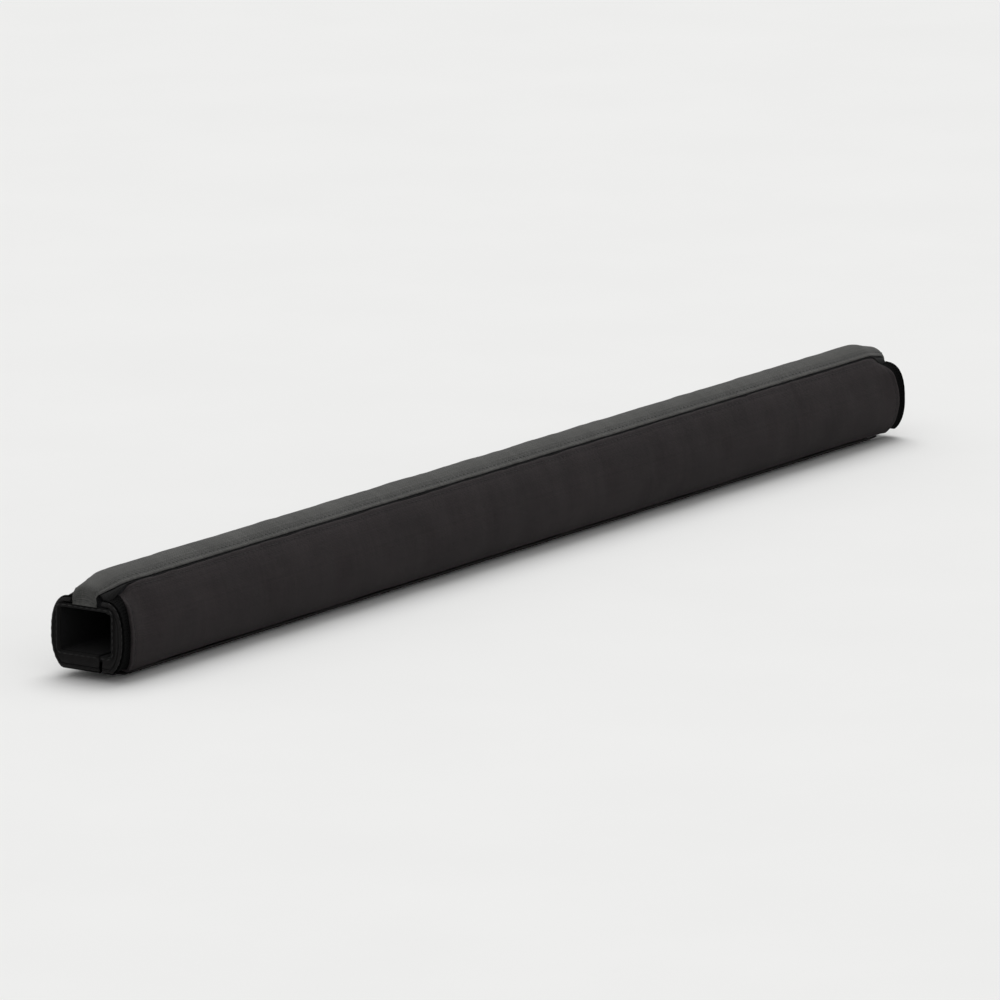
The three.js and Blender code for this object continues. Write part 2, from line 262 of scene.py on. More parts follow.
def run_lengths(grid, axis):
    """Mean length run along one axis of a grid, at each of its rows or columns."""
    steps = np.linalg.norm(np.diff(grid, axis=axis), axis=-1).mean(axis=1 - axis)
    return np.r_[0, np.cumsum(steps)]


def to_long_edges(grid):
    """Distance of each column of a grid from the nearer of its two long edges."""
    across = run_lengths(grid, 1)
    return np.minimum(across, across[-1] - across)[None, :]


# ---------------------------------------------------------------- padding, swelled by cloth
CROWN_POINTS, SIDE_POINTS = 13, 37
FLOOR_SHARE = 0.3
PADDING_INSET = 2.6 * MM
TIP_EXTRA_INSET = 2.6 * MM
TIP_INSET_POWER = 0.4
PADDING_END_GAP = 4.0 * MM
NEAR_STATIONS = np.array([5, 9, 13, 17, 20, 24]) * MM
EVEN_FROM, EVEN_STEP = 30 * MM, 10 * MM
VOXEL = 5 * MM

HOLD_REACH, HOLD_RUN = 8 * MM, 5 * MM
HEM_LOOSER = 2.5 * MM
END_FIRMER = 2 * MM
CLOTH_QUALITY = 6
PRESSURE = 4.0
CLOTH_STRETCH = 0.01
SIM_FRAMES = 20
SWELL_CAP = 1.2 * MM
START_SMALLER = 0.7 * MM
SWELL_FROM, SWELL_RUN = 3 * MM, 8 * MM


def placed(name, mesh):
    """New object in the scene that holds a mesh."""
    piece = bpy.data.objects.new(name, mesh)
    scene.collection.objects.link(piece)
    return piece


def plain_mesh(name, points, faces):
    mesh = bpy.data.meshes.new(name)
    mesh.from_pydata([tuple(p) for p in points], [], faces)
    mesh.update()
    return placed(name, mesh)


def evaluated_copy(piece):
    """Plain mesh of an object with its modifiers taken in."""
    graph = bpy.context.evaluated_depsgraph_get()
    return bpy.data.meshes.new_from_object(piece.evaluated_get(graph), depsgraph=graph)


def vertex_places(mesh):
    return np.array([v.co for v in mesh.vertices])


def outline_points(inward, distance):
    """Closed outline of the padding at one place, as an array of y and z."""
    section = section_at(inward)
    crown = np.array([crown_point(section, t) for t in np.linspace(-1, 1, CROWN_POINTS)])
    floor_end = FLOOR_SHARE * (section["wide_y"] - section["belly_run"])
    side = np.array([side_point(section, t, floor_end) for t in np.linspace(0, 3, SIDE_POINTS)])
    loop = np.vstack([crown, side, side[::-1] * [-1, 1]])
    along = unit(np.roll(loop, -1, axis=0) - np.roll(loop, 1, axis=0))
    return loop + np.stack([along[:, 1], -along[:, 0]], axis=1) * distance


def padding_block():
    """Closed block in the shape of the padding, smaller than the cover and most so at the tips."""
    half = np.r_[PADDING_END_GAP, NEAR_STATIONS, np.arange(EVEN_FROM, HALF_LENGTH, EVEN_STEP)]
    stations = [(s - HALF_LENGTH, s) for s in half] + [(HALF_LENGTH - s, s) for s in half[::-1]]
    loops = []
    for x, inward in stations:
        extra = TIP_EXTRA_INSET * max(1 - inward / RAMP, 0) ** TIP_INSET_POWER
        loop = outline_points(inward, PADDING_INSET + extra)
        loops.append(np.column_stack([np.full(len(loop), x), loop]))
    count = len(loops[0])
    faces = []
    for i in range(len(loops) - 1):
        for j in range(count):
            k = (j + 1) % count
            low, high = i * count, (i + 1) * count
            faces.append((low + j, high + j, high + k, low + k))
    faces.append(tuple(range(count)))
    faces.append(tuple(range((len(loops) - 1) * count, len(loops) * count))[::-1])
    return np.vstack(loops), faces


def remeshed_padding():
    piece = plain_mesh("padding_block", *padding_block())
    remesh = piece.modifiers.new("remesh", "REMESH")
    remesh.mode = "VOXEL"
    remesh.voxel_size = VOXEL
    mesh = evaluated_copy(piece)
    bpy.data.objects.remove(piece)
    return mesh


def seam_hold(points):
    """How firmly the sewing holds each point of the padding, from 0, free, to 1, held."""
    inward = HALF_LENGTH - np.abs(points[:, 0])
    section = section_at(inward)
    seam_z = section["crown_z"] - section["rise"]
    past_seam = np.abs(points[:, 1]) - section["seam_y"] - GROOVE / 2
    hem = PANEL_END_LOW + (PANEL_END_HIGH - PANEL_END_LOW) / 2
    past_slit = points[:, 1] - (SLIT_LOW_Y + SLIT_HIGH_Y) / 2
    nearest = np.minimum.reduce([
        np.hypot(past_seam, points[:, 2] - seam_z),
        np.abs(inward - hem) + HEM_LOOSER,
        inward - END_FIRMER,
        np.hypot(past_slit, points[:, 2] - COVER_FLOOR_Z),
    ])
    return np.clip((HOLD_REACH - nearest) / HOLD_RUN, 0, 1)


def swelled_padding():
    """Remeshed padding, and its points before and after Cloth has blown it up against its seams."""
    mesh = remeshed_padding()
    rest = vertex_places(mesh)
    body = placed("padding_in_cloth", mesh)
    group = body.vertex_groups.new(name="seams")
    for index, hold in enumerate(seam_hold(rest)):
        if hold > 0:
            group.add([index], float(hold), "REPLACE")
    cloth = body.modifiers.new("cloth", "CLOTH")
    settings = cloth.settings
    settings.quality = CLOTH_QUALITY
    settings.use_pressure = True
    settings.uniform_pressure_force = PRESSURE
    settings.effector_weights.gravity = 0
    settings.vertex_group_mass = "seams"
    settings.shrink_min = -CLOTH_STRETCH
    cloth.collision_settings.use_collision = False
    for number in range(1, SIM_FRAMES + 1):
        scene.frame_set(number)
    after = vertex_places(evaluated_copy(body))
    bpy.data.objects.remove(body)
    scene.frame_set(1)
    return mesh, rest, after


def capped(move, cap):
    """Moves that grow more slowly the nearer they come to a cap."""
    size = np.linalg.norm(move, axis=1, keepdims=True)
    return move * (cap * np.tanh(size / cap) / np.maximum(size, 1e-12))


def relaxed(mesh, values, rounds=3, kept=0.4):
    """Evens out values on a mesh's points with those of their neighbours."""
    edges = np.array([e.vertices[:] for e in mesh.edges])
    count = np.bincount(edges.ravel(), minlength=len(values))[:, None]
    for _ in range(rounds):
        total = np.zeros_like(values)
        np.add.at(total, edges[:, 0], values[edges[:, 1]])
        np.add.at(total, edges[:, 1], values[edges[:, 0]])
        values = kept * values + (1 - kept) * total / count
    return values


padding_mesh, padding_rest, padding_after = swelled_padding()
padding_move = relaxed(padding_mesh, capped(padding_after - padding_rest, SWELL_CAP))
padding_mesh.calc_loop_triangles()
padding_triangles = [tuple(t.vertices) for t in padding_mesh.loop_triangles]
padding_tree = BVHTree.FromPolygons([tuple(p) for p in padding_rest], padding_triangles)


def swell(grid):
    """Moves a grid of the cover with the padding under it, from a slightly smaller start."""
    flat = grid.reshape(-1, 3)
    moved = np.zeros_like(flat)
    for index, point in enumerate(flat):
        place, _, face, _ = padding_tree.find_nearest(Vector(point))
        corners = padding_triangles[face]
        weights = poly_3d_calc([Vector(padding_rest[c]) for c in corners], place)
        moved[index] = sum(w * padding_move[c] for w, c in zip(weights, corners))
    inward = HALF_LENGTH - np.abs(grid[..., 0:1])
    share = np.clip((inward - SWELL_FROM) / SWELL_RUN, 0, 1)
    return grid + (moved.reshape(grid.shape) - outward_of(grid) * START_SMALLER) * share


# ---------------------------------------------------------------- cloth with rolled edges
ROLL_LENGTH = 0.9


def rim_cells(rows, columns):
    """Cells round the border of a grid, in order."""
    top = [(0, j) for j in range(columns)]
    right = [(i, columns - 1) for i in range(1, rows)]
    bottom = [(rows - 1, j) for j in range(columns - 2, -1, -1)]
    left = [(i, 0) for i in range(rows - 2, 0, -1)]
    return top + right + bottom + left


def rim_away(grid, normal):
    """Unit vectors off the edge of the cloth at each border cell."""
    away = np.zeros_like(grid)
    away[0] += unit(grid[0] - grid[1])
    away[-1] += unit(grid[-1] - grid[-2])
    away[:, 0] += unit(grid[:, 0] - grid[:, 1])
    away[:, -1] += unit(grid[:, -1] - grid[:, -2])
    away -= normal * (away * normal).sum(-1, keepdims=True)
    return unit(away)


def cloth_faces(rows, columns, cells, rolls):
    """Faces of a sheet: its outer and inner skins, and the strips rolled over its edges."""
    total = rows * columns
    faces = []
    for i in range(rows - 1):
        for j in range(columns - 1):
            a, d = i * columns + j, (i + 1) * columns + j
            b, c = a + 1, d + 1
            faces.append((a, b, c, d))
            faces.append((total + a, total + d, total + c, total + b))
    border = [i * columns + j for i, j in cells]
    strips = [border]
    for k in range(rolls - 1):
        start = 2 * total + k * len(cells)
        strips.append(list(range(start, start + len(cells))))
    strips.append([total + number for number in border])
    for upper, lower in zip(strips, strips[1:]):
        for index in range(len(cells)):
            after = (index + 1) % len(cells)
            faces.append((upper[after], upper[index], lower[index], lower[after]))
    return faces


def cloth_piece(name, grid, thickness, facing=1, rolls=5, chart=None):
    """Closed sheet whose outer face is a grid of points and whose edges are rolled over.

    chart gives the cloth's own two coordinates at each point where its weave doesn't follow the grid.
    """
    rows, columns = grid.shape[:2]
    half = np.broadcast_to(np.asarray(thickness, float), (rows, columns))[..., None] / 2
    normal = outward_of(grid) * facing
    away = rim_away(grid, normal)
    border = np.linalg.norm(away, axis=-1, keepdims=True) > 0.5
    outer = grid - np.where(border, away * half, 0)
    inner = outer - normal * (2 * half)
    cells = rim_cells(rows, columns)
    rim = tuple(np.transpose(cells))
    points = [outer.reshape(-1, 3), inner.reshape(-1, 3)]
    for k in range(1, rolls):
        angle = math.pi * k / rolls
        turned = away[rim] * math.sin(angle) + normal[rim] * math.cos(angle)
        points.append(outer[rim] - normal[rim] * half[rim] + half[rim] * turned)
    piece = plain_mesh(name, np.vstack(points), cloth_faces(rows, columns, cells, rolls))
    u, v = run_lengths(grid, 0), run_lengths(grid, 1)
    spread = []
    for axis, sign in zip(chart or np.meshgrid(u, v, indexing="ij"), (-1, 1)):
        turn = sign * ROLL_LENGTH * half[..., 0][rim]
        rolled = [axis[rim] + turn * roll for roll in range(1, rolls)]
        spread.append(np.concatenate([axis.ravel(), axis.ravel(), *rolled]))
    from_u, from_v = np.minimum(u, u[-1] - u), np.minimum(v, v[-1] - v)
    to_edge = np.minimum(from_u[:, None], from_v[None, :]).ravel()
    dress(piece, *spread, np.r_[to_edge, to_edge, np.zeros(len(cells) * (rolls - 1))])
    return piece


def dress(piece, u, v, edge):
    """Gives a piece its cloth coordinates and its distances from the edge, and points it outwards."""
    mesh = piece.data
    layer = mesh.uv_layers.new(name="cloth")
    corner = np.zeros(len(mesh.loops), int)
    mesh.loops.foreach_get("vertex_index", corner)
    layer.data.foreach_set("uv", np.column_stack([u[corner], v[corner]]).ravel())
    attribute = mesh.attributes.new("edge_distance", "FLOAT", "POINT")
    attribute.data.foreach_set("value", edge.astype(np.float32))
    shade_smooth(mesh)
    if signed_volume(mesh) < 0:
        mesh.flip_normals()
    mesh.update()


def shade_smooth(mesh, smooth=True):
    mesh.polygons.foreach_set("use_smooth", np.full(len(mesh.polygons), smooth))


def signed_volume(mesh):
    """Volume inside a closed mesh, below 0 where its faces point inwards."""
    mesh.calc_loop_triangles()
    points = vertex_places(mesh)
    corners = np.array([t.vertices[:] for t in mesh.loop_triangles])
    a, b, c = (points[corners[:, k]] for k in range(3))
    return float((a * np.cross(b, c)).sum() / 6)


# ---------------------------------------------------------------- finishes
def operator(operation, turned=False):
    """An operator of Wire: a Math node on the wire and a value, with the two turned round or not."""
    def add_node(self, other):
        pair = (other, self) if turned else (self, other)
        return self.finish.maths(operation, *pair)
    return add_node


class Wire:
    """A shader socket, on which Python's operators add Math nodes."""

    def __init__(self, finish, socket):
        self.finish = finish
        self.socket = socket

    __add__ = __radd__ = operator("ADD")
    __sub__ = operator("SUBTRACT")
    __rsub__ = operator("SUBTRACT", turned=True)
    __mul__ = __rmul__ = operator("MULTIPLY")
    __truediv__ = operator("DIVIDE")
    __mod__ = operator("FLOORED_MODULO")


class Finish:
    """A material whose nodes all come from one method."""

    def __init__(self, name):
        self.material = bpy.data.materials.new(name)
        self.material.use_nodes = True
        self.tree = self.material.node_tree
        self.tree.nodes.clear()

    def node(self, kind, settings=None, values=None, output=0):
        made = self.tree.nodes.new(kind)
        for key, value in (settings or {}).items():
            setattr(made, key, value)
        for key, value in (values or {}).items():
            if isinstance(value, Wire):
                self.tree.links.new(value.socket, made.inputs[key])
            else:
                made.inputs[key].default_value = value
        return Wire(self, made.outputs[output]) if made.outputs else made

    def maths(self, operation, first, second=0.0, clamp=False):
        settings = {"operation": operation, "use_clamp": clamp}
        return self.node("ShaderNodeMath", settings, {0: first, 1: second})

    def floor(self, value):
        return self.maths("FLOOR", value)

    def bulge(self, value):
        """Half a wave across each whole step of a value, from 0 to 1 and back."""
        return self.maths("ABSOLUTE", self.maths("SINE", value * math.pi))

    def clamp(self, value):
        return self.maths("ADD", value, 0.0, clamp=True)

    def varied(self, middle, *parts):
        """A share from 0 to 1 that wanders about a middle, with each part by its own weight."""
        for part, weight in parts:
            middle = middle + (part - 0.5) * weight
        return self.clamp(middle)

    def blend(self, share, low, high):
        settings = {"data_type": "RGBA"}
        return self.node("ShaderNodeMix", settings, {0: share, 6: low, 7: high}, output=2)

    def tones(self, share, shade, low, high):
        """One shade, from a darker tone of it to a paler one."""
        return self.blend(share, linear(shade, low), linear(shade, high))

    def cloth_axes(self):
        """The two coordinates of the cloth's own map."""
        place = {"Vector": self.node("ShaderNodeUVMap", {"uv_map": "cloth"})}
        return [self.node("ShaderNodeSeparateXYZ", None, place, output=k) for k in (0, 1)]

    def object_place(self):
        return self.node("ShaderNodeTexCoord", None, None, output=3)

    def mottle(self, scale, detail=3.0):
        values = {"Vector": self.object_place(), "Scale": scale, "Detail": detail}
        return self.node("ShaderNodeTexNoise", None, values)

    def cells(self, scale, randomness=1.0):
        """Distance from the middle of the nearest of many small cells."""
        values = {"Vector": self.object_place(), "Scale": scale, "Randomness": randomness}
        return self.node("ShaderNodeTexVoronoi", {"feature": "F1"}, values)

    def yarn_tone(self, number):
        return self.node("ShaderNodeTexWhiteNoise", {"noise_dimensions": "1D"}, {"W": number})

    def edge_share(self, width):
        """1 on the very edge of a piece of cloth, fading to 0 at a distance from it."""
        settings = {"attribute_name": "edge_distance"}
        distance = self.node("ShaderNodeAttribute", settings, None, output=2)
        return self.clamp(1 - distance / width)

    def surface(self, color, roughness, height, depth, sheen=0.0, specular=0.1):
        """Ends the material in its one shader, bumped by a height."""
        bump = {"Strength": 1.0, "Distance": depth, "Height": height}
        values = {
            "Base Color": color,
            "Roughness": roughness,
            "Normal": self.node("ShaderNodeBump", None, bump),
            "Sheen Weight": sheen,
            "Sheen Roughness": 0.55,
            "Specular IOR Level": specular,
        }
        shader = self.node("ShaderNodeBsdfPrincipled", None, values)
        self.node("ShaderNodeOutputMaterial", None, {"Surface": shader})
        return self.material


def linear(shade, factor=1.0):
    """Linear colour of a screen colour, given as red, green and blue from 0 to 255, times a factor."""
    channels = [c * factor / 255 for c in shade]
    curve = [c / 12.92 if c <= 0.04045 else ((c + 0.055) / 1.055) ** 2.4 for c in channels]
    return (*curve, 1.0)


WEFT_NUMBERS = 7000.0
WEAR_WIDTH = 2.2 * MM


def woven(name, shade, pitch, depth=0.25 * MM, spread=0.16, sheen=0.04, wear=0.25):
    """Plain weave: yarns cross over and under, each with its own tone, with painted shade in the low
    gaps between them, rubbed pale along the edges.
    """
    finish = Finish(name)
    u, v = finish.cloth_axes()
    u, v = u / pitch, v / pitch
    warp, weft = finish.floor(u), finish.floor(v)
    over = (warp + weft) % 2.0
    across_u, across_v = finish.bulge(u), finish.bulge(v)
    warp_height = across_u * (0.5 + 0.5 * across_v)
    weft_height = across_v * (0.5 + 0.5 * across_u)
    height = warp_height + (weft_height - warp_height) * over
    tone = finish.yarn_tone(warp + (weft + WEFT_NUMBERS - warp) * over)
    broad = finish.mottle(scale=34.0, detail=4.0)
    fine = finish.mottle(scale=420.0, detail=2.0)
    share = finish.varied(0.5, (tone, 0.7), (broad, 1.1), (fine, 0.5))
    yarns = finish.tones(share, shade, 1 - spread, 1 + spread)
    # Painted shade: where the weave is low, between the yarns, the colour drops to 0.55 of the shade.
    cloth = finish.blend(finish.clamp(height * 1.6 + 0.15), linear(shade, 0.55), yarns)
    rubbed = linear([min(c * 1.35 + 10, 255) for c in shade])
    worn = finish.clamp(finish.edge_share(WEAR_WIDTH) * wear * (fine * 2.2 - 0.4))
    roughness = 0.78 + tone * 0.12 - height * 0.06
    return finish.surface(finish.blend(worn, cloth, rubbed), roughness, height, depth, sheen)


def ribbed(name, shade, pitch):
    """Woven tape with ribs across it, painted paler on the ribs and darker between them as shade."""
    finish = Finish(name)
    u, v = finish.cloth_axes()
    ribs = finish.bulge(u / pitch)
    cross = finish.bulge(v / (pitch * 0.45))
    height = ribs * (0.75 + 0.25 * cross)
    tone = finish.yarn_tone(finish.floor(u / pitch))
    grain = finish.mottle(scale=300.0)
    # Painted shade: rib tops paler, hollows between the ribs darker.
    share = finish.varied(0.25 + ribs * 0.5, (tone, 0.3), (grain, 0.5))
    color = finish.tones(share, shade, 0.6, 1.3)
    return finish.surface(color, 0.7 + grain * 0.15, height, depth=0.2 * MM, sheen=0.03)


def knitted_mesh(name, shade, pitch):
    """Knitted mesh with staggered round holes, which are only bumped and painted dark as the shade
    seen through them.
    """
    finish = Finish(name)
    u, v = finish.cloth_axes()
    row = v / (pitch * 0.866)
    shift = (finish.floor(row) % 2.0) * 0.5
    cell_u = (u / pitch + shift) % 1.0 - 0.5
    cell_v = row % 1.0 - 0.5
    reach = finish.maths("SQRT", cell_u * cell_u + cell_v * cell_v * 0.75)
    wall = finish.clamp((reach - 0.2) * 5.0)
    grain = finish.mottle(scale=600.0)
    threads = finish.tones(grain, shade, 0.75, 1.3)
    # Painted shade: the holes take 0.3 of the shade, standing in for the shade seen through them.
    color = finish.blend(wall, linear(shade, 0.3), threads)
    height = wall + grain * 0.2
    return finish.surface(color, 0.85 + grain * 0.1, height, depth=0.5 * MM, specular=0.05)


def open_foam(name, shade):
    """Closed-cell foam with small pores."""
    finish = Finish(name)
    cells = finish.cells(scale=900.0)
    grain = finish.mottle(scale=160.0)
    # Painted shade: pore middles, low in the bump, are darker.
    color = finish.tones(finish.varied(cells * 0.9, (grain, 0.6)), shade, 0.7, 1.15)
    return finish.surface(color, 0.88 + grain * 0.08, cells, depth=0.25 * MM)


def pile_tape(name, shade, scale, depth):
    """Fastening tape: a field of small hooks or loops."""
    finish = Finish(name)
    hooks = finish.cells(scale, randomness=0.6)
    grain = finish.mottle(scale=500.0)
    # Painted shade: hook and loop tops, high in the bump, are paler and the spaces between them
    # darker.
    color = finish.tones(finish.varied(1.0 - hooks * 1.2, (grain, 0.4)), shade, 0.5, 1.4)
    return finish.surface(color, 0.6 + grain * 0.25, 1.0 - hooks, depth, specular=0.2)


def thread_finish(name, shade):
    """Bonded sewing thread with a fine twist."""
    finish = Finish(name)
    settings = {"wave_type": "BANDS", "bands_direction": "DIAGONAL"}
    values = {"Vector": finish.object_place(), "Scale": 900.0, "Distortion": 0.4}
    twist = finish.node("ShaderNodeTexWave", settings, values, output=1)
    tone = finish.mottle(scale=250.0)
    # Painted shade: the raised bands of the twist are paler, its grooves darker.
    color = finish.tones(finish.clamp(twist * 0.6 + tone * 0.4), shade, 0.75, 1.25)
    return finish.surface(color, 0.55 + tone * 0.15, twist, depth=0.05 * MM, specular=0.3)


GREY = (86, 86, 84)
BLACK = (49, 44, 45)
grey_canvas = woven("grey_canvas", GREY, 0.9 * MM, sheen=0.08)
black_canvas = woven("black_canvas", BLACK, 0.75 * MM, depth=0.2 * MM, spread=0.2)
# end_cloth is the sleeve's black cloth in a darker tone than black_canvas; the darkening is painted
# shade of the end faces.
end_cloth = woven("end_cloth", (31, 30, 30), 0.7 * MM, depth=0.2 * MM)
flap_cloth = woven("flap_cloth", (40, 38, 38), 0.8 * MM, depth=0.2 * MM)
# gusset_mesh is near black: partly the mesh's own black, partly painted shade of the recess between
# the side covers' hems and the end rims.
gusset_mesh = knitted_mesh("gusset_mesh", (12, 12, 12), 1.8 * MM)
binding_tape = ribbed("binding_tape", (20, 20, 20), 0.9 * MM)
# seam_tape's dark tone is partly the tape's own black and partly painted shade of the seam groove
# beside the grey top.
seam_tape = ribbed("seam_tape", (26, 26, 26), 0.9 * MM)
lining_cloth = woven("lining_cloth", (24, 24, 25), 0.45 * MM, depth=0.1 * MM, spread=0.12, wear=0.0)
foam_cells = open_foam("foam_cells", (58, 58, 60))
hook_tape = pile_tape("hook_tape", (22, 22, 22), scale=1100.0, depth=0.4 * MM)
loop_tape = pile_tape("loop_tape", (26, 26, 26), scale=700.0, depth=0.5 * MM)
grey_thread = thread_finish("grey_thread", (58, 58, 57))
black_thread = thread_finish("black_thread", (30, 29, 29))


def finished(piece, material, nodes=()):
    """Gives a piece its material and ties it to the frame."""
    piece.data.materials.clear()
    piece.data.materials.append(material)
    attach(piece, "root")
    if nodes:
        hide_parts(*nodes)
    return piece


# ---------------------------------------------------------------- hems and gathers
FINE_GATHER, WIDE_GATHER = 7 * MM, 17 * MM
WIDE_SHARE = 0.7


def sewn_edge(distance, depth=0.35 * MM, width=1.1 * MM):
    """Dip of a cover along a row of stitches at a distance from its edge."""
    return -depth * np.exp(-((distance - HEM_SETBACK) / width) ** 2)


def pucker(x, to_edge, seed, height=0.3 * MM, reach=9 * MM):
    """Small gathers that run off a seam and die away from it."""
    wave = noise_line(x, FINE_GATHER, seed) + WIDE_SHARE * noise_line(x, WIDE_GATHER, seed + 1)
    return height * wave * np.exp(-to_edge / reach)


# ---------------------------------------------------------------- grey top
TOP_COLUMNS = 27
TOP_SEED = 11
LIP_CLEAR = 3.2 * MM
LIP_ROUND = 2.6 * MM
LIP_ROWS = 7
HANG_SHARES = (0.0, 0.3, 0.6, 0.85)
LIP_PLAIN, LIP_BLEND = 2 * MM, 6 * MM


def lip_rows(steps):
    """Rows of one lip, from its lower edge up over the fold, as distance in, y and z."""
    fold = []
    for angle in np.linspace(0, math.pi / 2, LIP_ROWS)[::-1]:
        run = LIP_ROUND * (1 - np.sin(angle))
        y, z = np.array([crown_point(section_at(run), t) for t in steps]).T
        fold.append((run, y, z - LIP_ROUND * (1 - np.cos(angle))))
    _, edge_y, edge_z = fold[0]
    hang = [(0.0, edge_y, LIP_Z + (edge_z - LIP_Z) * share) for share in HANG_SHARES]
    return hang + fold


def top_cover():
    steps = even_steps(lambda t: crown_point(BODY, t), -1, 1, TOP_COLUMNS)
    inward, x = strip_rows(LIP_CLEAR)
    section = section_at(inward)
    body = np.stack([np.stack([x, *crown_point(section, t)], axis=-1) for t in steps], axis=1)
    left = np.array([
        np.column_stack([np.full(len(y), run - HALF_LENGTH), y, z]) for run, y, z in lip_rows(steps)
    ])
    grid = swell(np.vstack([left, body, left[::-1] * [-1, 1, 1]]))
    to_edge = to_long_edges(grid)
    bend = sewn_edge(to_edge) + pucker(grid[..., 0], to_edge, TOP_SEED)
    past_lip = np.clip((HALF_LENGTH - np.abs(grid[..., 0]) - LIP_PLAIN) / LIP_BLEND, 0, 1)
    return grid + outward_of(grid) * (bend * past_lip)[..., None]


top_grid = top_cover()
grey_top = cloth_piece("grey_top", top_grid, COVER)
finished(grey_top, grey_canvas, ["top_panel"])


# ---------------------------------------------------------------- front and rear covers
SIDES = {"front": -1, "rear": 1}
SIDE_SEEDS = {"front": 31, "rear": 57}
SIDE_COLUMNS = 52
CORNER_DRAW = 2.7 * MM
CORNER_DOWN, CORNER_ALONG = 8 * MM, 9 * MM
HEM_DIP = 0.3 * MM
HEM_GATHER, HEM_GATHER_REACH = 0.35 * MM, 7 * MM
HEM_LIFT, HEM_LIFT_RUN = 0.5 * MM, 7 * MM


def panel_edge(z):
    """How far in from the end a side cover stops, nearest the end at its widest line."""
    reach = np.where(z < WIDE_Z, WIDE_Z - COVER_FLOOR_Z, BODY["crown_z"] - BODY["rise"] - WIDE_Z)
    furthest = np.where(z < WIDE_Z, PANEL_END_LOW, PANEL_END_HIGH)
    return PANEL_END_MIDDLE + (furthest - PANEL_END_MIDDLE) * ((z - WIDE_Z) / reach) ** 2


def side_steps(side, count):
    return even_steps(lambda t: side_point(BODY, t, slit_reach(side)), 0, 3, count)


def side_edges(side, steps):
    return panel_edge(np.array([side_point(BODY, t, slit_reach(side))[1] for t in steps]))


def side_cover(side, seed):
    """Grid of a side cover, and how much thicker its hems make it at each point."""
    steps = side_steps(side, SIDE_COLUMNS)
    inward, x = lengthwise(side_edges(side, steps))
    grid = swell(side_grid(side, inward, x, steps))
    across = run_lengths(grid, 1)
    to_seam = np.broadcast_to(across[None, :], grid.shape[:2])
    to_hem = inward - inward.min(axis=0)
    bend = sewn_edge(to_seam) + pucker(grid[..., 0], to_seam, seed)
    bend += sewn_edge(across[-1] - to_seam) + sewn_edge(to_hem, HEM_DIP)
    bend += pucker(to_seam, to_hem, seed + 5, HEM_GATHER, HEM_GATHER_REACH)
    corner = np.exp(-(to_seam / CORNER_DOWN) ** 2 - (to_hem / CORNER_ALONG) ** 2)
    hem_lift = HEM_LIFT * np.clip(1 - to_hem / HEM_LIFT_RUN, 0, 1) * (1 - corner)
    bend += hem_lift - CORNER_DRAW * corner
    return grid + outward_of(grid) * bend[..., None], hem_lift


side_grids = {}
for side_name, side in SIDES.items():
    cover_grid, cover_lift = side_cover(side, SIDE_SEEDS[side_name])
    side_grids[side_name] = cover_grid
    cover = cloth_piece(f"{side_name}_cover", cover_grid, COVER + cover_lift)
    finished(cover, black_canvas, [f"{side_name}_panel"])


# ---------------------------------------------------------------- tape in the top seams, its dark tone partly painted shade of the seam grooves
TAPE_START = 3.4 * MM
TAPE_LINES = 7
TAPE_THICKNESS = 0.8 * MM
TAPE_DEPTH = 0.5 * MM
TAPE_LAP = 0.1 * MM
TAPE_WIDER = 1.6 * MM
TAPE_FALL = 2.4 * MM
SLOPE_FROM = 0.96


def seam_tape_grid(side):
    """Tape in the seam beside the grey top, reaching down to the gussets at the tips."""
    inward, x = strip_rows(TAPE_START)
    section = section_at(inward)
    edge_y, edge_z = crown_point(section, 1.0)
    near_y, near_z = crown_point(section, SLOPE_FROM)
    slope_y, slope_z = edge_y - near_y, edge_z - near_z
    length = np.hypot(slope_y, slope_z)
    down_y, down_z = slope_z / length, -slope_y / length
    open_seam = np.clip(1 - inward / RAMP, 0, 1) ** 0.5
    wider = TAPE_WIDER * open_seam
    lines = []
    for share in np.linspace(0, 1, TAPE_LINES):
        reach = share * (GROOVE + 2 * TAPE_LAP + wider) - TAPE_LAP
        depth = TAPE_DEPTH + TAPE_DEPTH * (2 * share - 1) ** 2
        fall = (section["seam_drop"] + wider) * share ** 1.5 + TAPE_FALL * open_seam * share ** 4
        y = side * (edge_y + reach + down_y * depth)
        lines.append(np.stack([x, y, edge_z + down_z * depth - fall], axis=-1))
    return swell(np.stack(lines, axis=1))


for side_name, side in SIDES.items():
    tape = cloth_piece(f"{side_name}_seam_binding", seam_tape_grid(side), TAPE_THICKNESS)
    finished(tape, seam_tape, [f"{side_name}_seam_tape"])


# ---------------------------------------------------------------- gussets of the ends
ENDS = {"left": -1, "right": 1}
GUSSET_ROWS = 10
GUSSET_COLUMNS = 44
GUSSET_LAP = 1.2 * MM
GUSSET_DISH = 1.1 * MM
GUSSET_START_DIP = 0.9 * MM
CORNER_TUCK = 2.3 * MM
TUCK_REACH = 0.16
ROUND_ROWS = 6
RIM_SETBACK = 1


